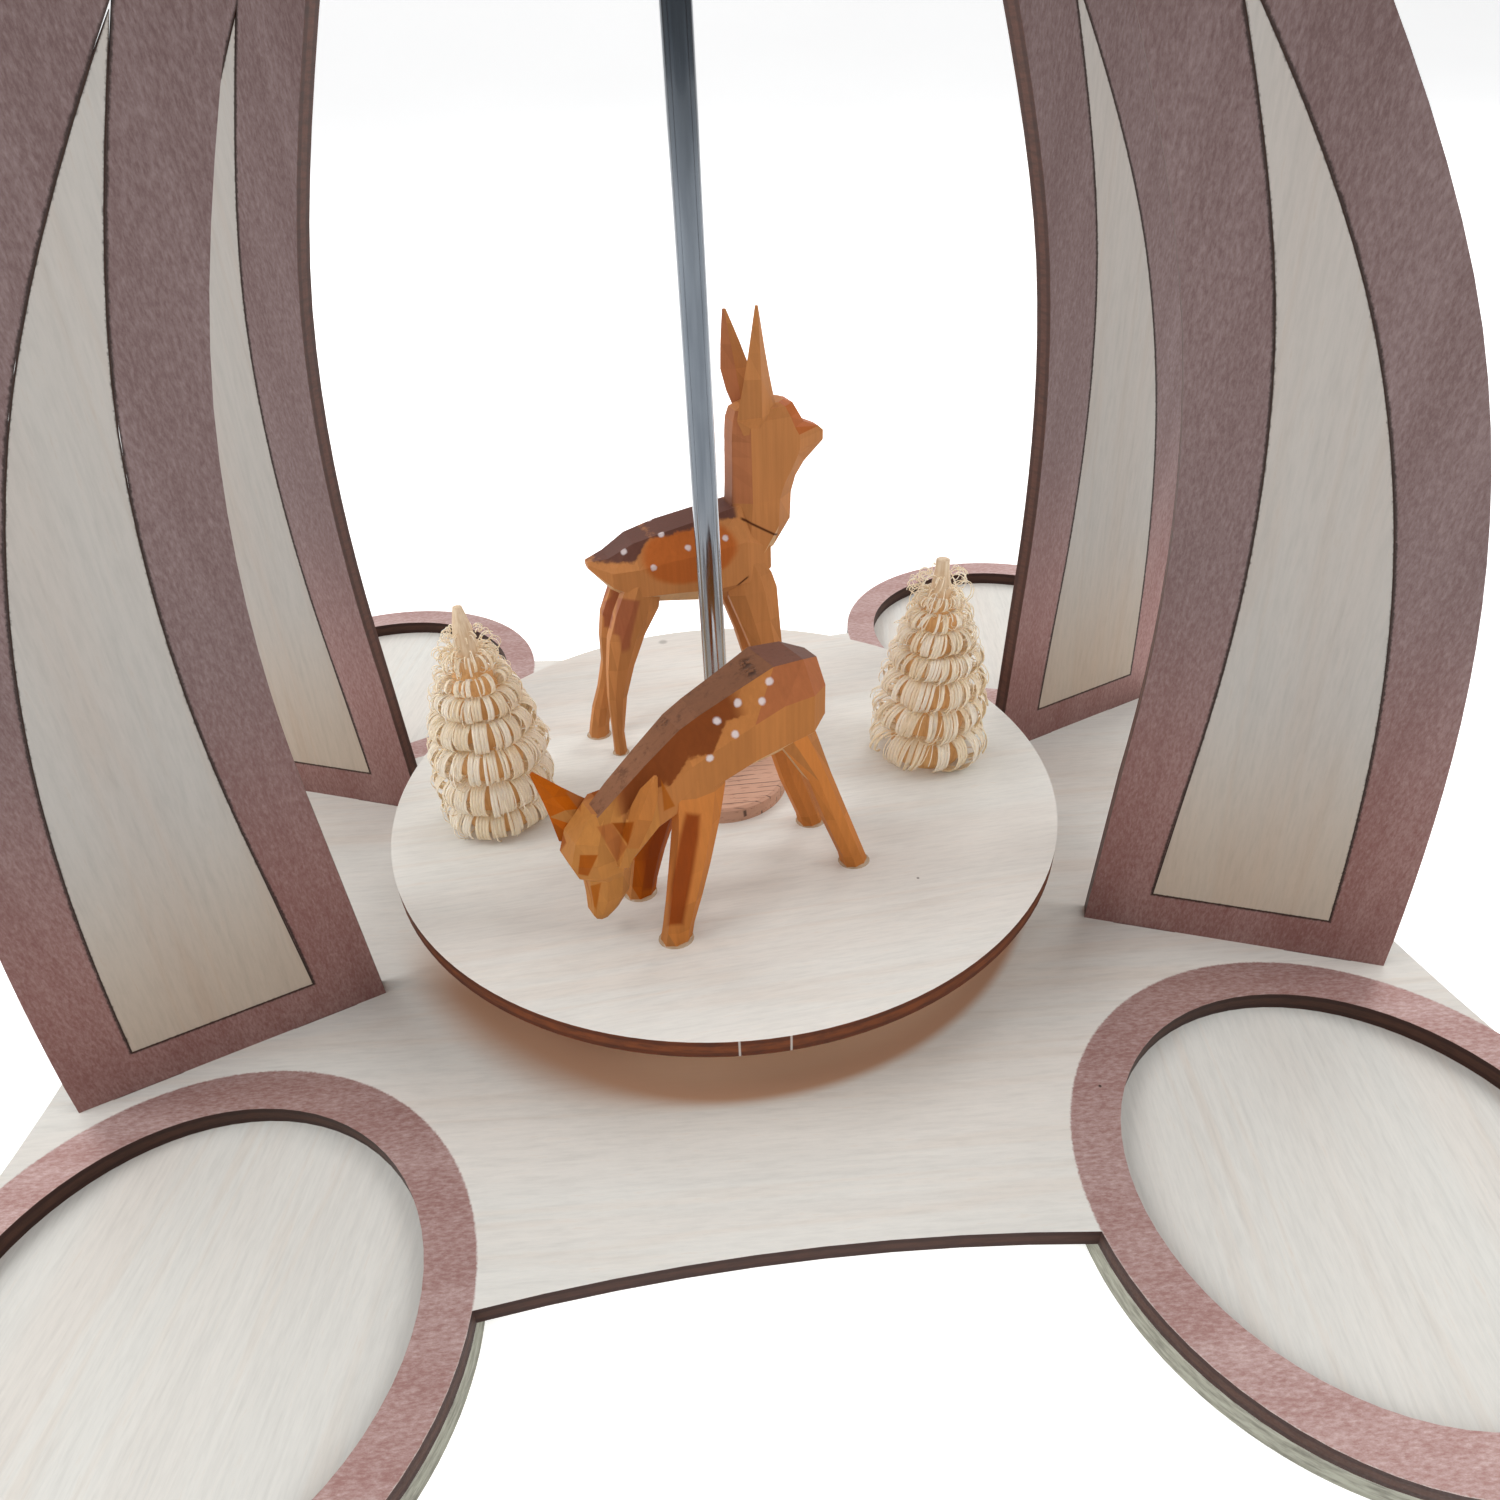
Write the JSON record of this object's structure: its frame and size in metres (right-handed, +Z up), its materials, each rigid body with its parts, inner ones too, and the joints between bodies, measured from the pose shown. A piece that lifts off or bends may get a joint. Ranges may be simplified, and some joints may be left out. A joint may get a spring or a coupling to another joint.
{
  "type": "christmas pyramid",
  "caption": "Wooden table-top candle carousel with curved uprights, a turning stage with carved fawns and ring trees, candle recesses and a bladed rotor.",
  "frame": {"origin": "on the table, under the middle of the spindle", "axes": "+Z up along the spindle, +X to the right and +Y to the rear, as seen from the front"},
  "size_m": [0.2384, 0.2384, 0.2094],
  "materials": {
    "bare_ply": "bare pale plywood with burnt laser-cut edges",
    "mauve_glaze": "mauve shimmering glaze on plywood",
    "beech": "turned bare beech",
    "amber_stain": "amber stain on carved wood with a dark brown back and white spots",
    "shavings": "pale curled shavings",
    "steel": "drawn bright steel rod",
    "brass": "turned brass bearing"
  },
  "bodies": {
    "stand": {"base_plate": "bare_ply", "foot_disc_rr": "bare_ply", "foot_disc_rl": "bare_ply", "foot_disc_fl": "bare_ply", "foot_disc_fr": "bare_ply", "upright_frame_rr": "mauve_glaze", "upright_frame_rl": "mauve_glaze", "upright_frame_fl": "mauve_glaze", "upright_frame_fr": "mauve_glaze", "upright_inlay_rr": "bare_ply", "upright_inlay_rl": "bare_ply", "upright_inlay_fl": "bare_ply", "upright_inlay_fr": "bare_ply", "bearing_block": "beech", "bearing_cup": "brass", "crown_plate": "mauve_glaze", "crown_bush": "brass"},
    "carousel": {"spindle": "steel", "turntable": "bare_ply", "turntable_hub": "beech", "grazing_fawn": "amber_stain", "standing_fawn": "amber_stain", "ring_tree_left": "shavings", "ring_tree_right": "shavings", "rotor_hub": "beech", "rotor_finial": "mauve_glaze"},
    "blade_unit_1": {"blade_peg_1": "beech", "blade_1": "mauve_glaze"},
    "blade_unit_2": {"blade_peg_2": "beech", "blade_2": "mauve_glaze"},
    "blade_unit_3": {"blade_peg_3": "beech", "blade_3": "mauve_glaze"},
    "blade_unit_4": {"blade_peg_4": "beech", "blade_4": "mauve_glaze"},
    "blade_unit_5": {"blade_peg_5": "beech", "blade_5": "mauve_glaze"},
    "blade_unit_6": {"blade_peg_6": "beech", "blade_6": "mauve_glaze"},
    "blade_unit_7": {"blade_peg_7": "beech", "blade_7": "mauve_glaze"},
    "blade_unit_8": {"blade_peg_8": "beech", "blade_8": "mauve_glaze"}
  },
  "joints": [
    {"name": "carousel_spin", "type": "hinge", "parent": "stand", "child": "carousel", "pos_m": [0, 0, 0.0152], "axis": [0, 0, 1], "continuous": true},
    {"name": "blade_twist_1", "type": "hinge", "parent": "carousel", "child": "blade_unit_1", "pos_m": [0.01571, 0.00651, 0.1854], "axis": [0.9239, 0.3827, 0], "range_deg": [-35, 55]},
    {"name": "blade_twist_2", "type": "hinge", "parent": "carousel", "child": "blade_unit_2", "pos_m": [0.00651, 0.01571, 0.1854], "axis": [0.3827, 0.9239, 0], "range_deg": [-35, 55]},
    {"name": "blade_twist_3", "type": "hinge", "parent": "carousel", "child": "blade_unit_3", "pos_m": [-0.00651, 0.01571, 0.1854], "axis": [-0.3827, 0.9239, 0], "range_deg": [-35, 55]},
    {"name": "blade_twist_4", "type": "hinge", "parent": "carousel", "child": "blade_unit_4", "pos_m": [-0.01571, 0.00651, 0.1854], "axis": [-0.9239, 0.3827, 0], "range_deg": [-35, 55]},
    {"name": "blade_twist_5", "type": "hinge", "parent": "carousel", "child": "blade_unit_5", "pos_m": [-0.01571, -0.00651, 0.1854], "axis": [-0.9239, -0.3827, 0], "range_deg": [-35, 55]},
    {"name": "blade_twist_6", "type": "hinge", "parent": "carousel", "child": "blade_unit_6", "pos_m": [-0.00651, -0.01571, 0.1854], "axis": [-0.3827, -0.9239, 0], "range_deg": [-35, 55]},
    {"name": "blade_twist_7", "type": "hinge", "parent": "carousel", "child": "blade_unit_7", "pos_m": [0.00651, -0.01571, 0.1854], "axis": [0.3827, -0.9239, 0], "range_deg": [-35, 55]},
    {"name": "blade_twist_8", "type": "hinge", "parent": "carousel", "child": "blade_unit_8", "pos_m": [0.01571, -0.00651, 0.1854], "axis": [0.9239, -0.3827, 0], "range_deg": [-35, 55]}
  ]
}
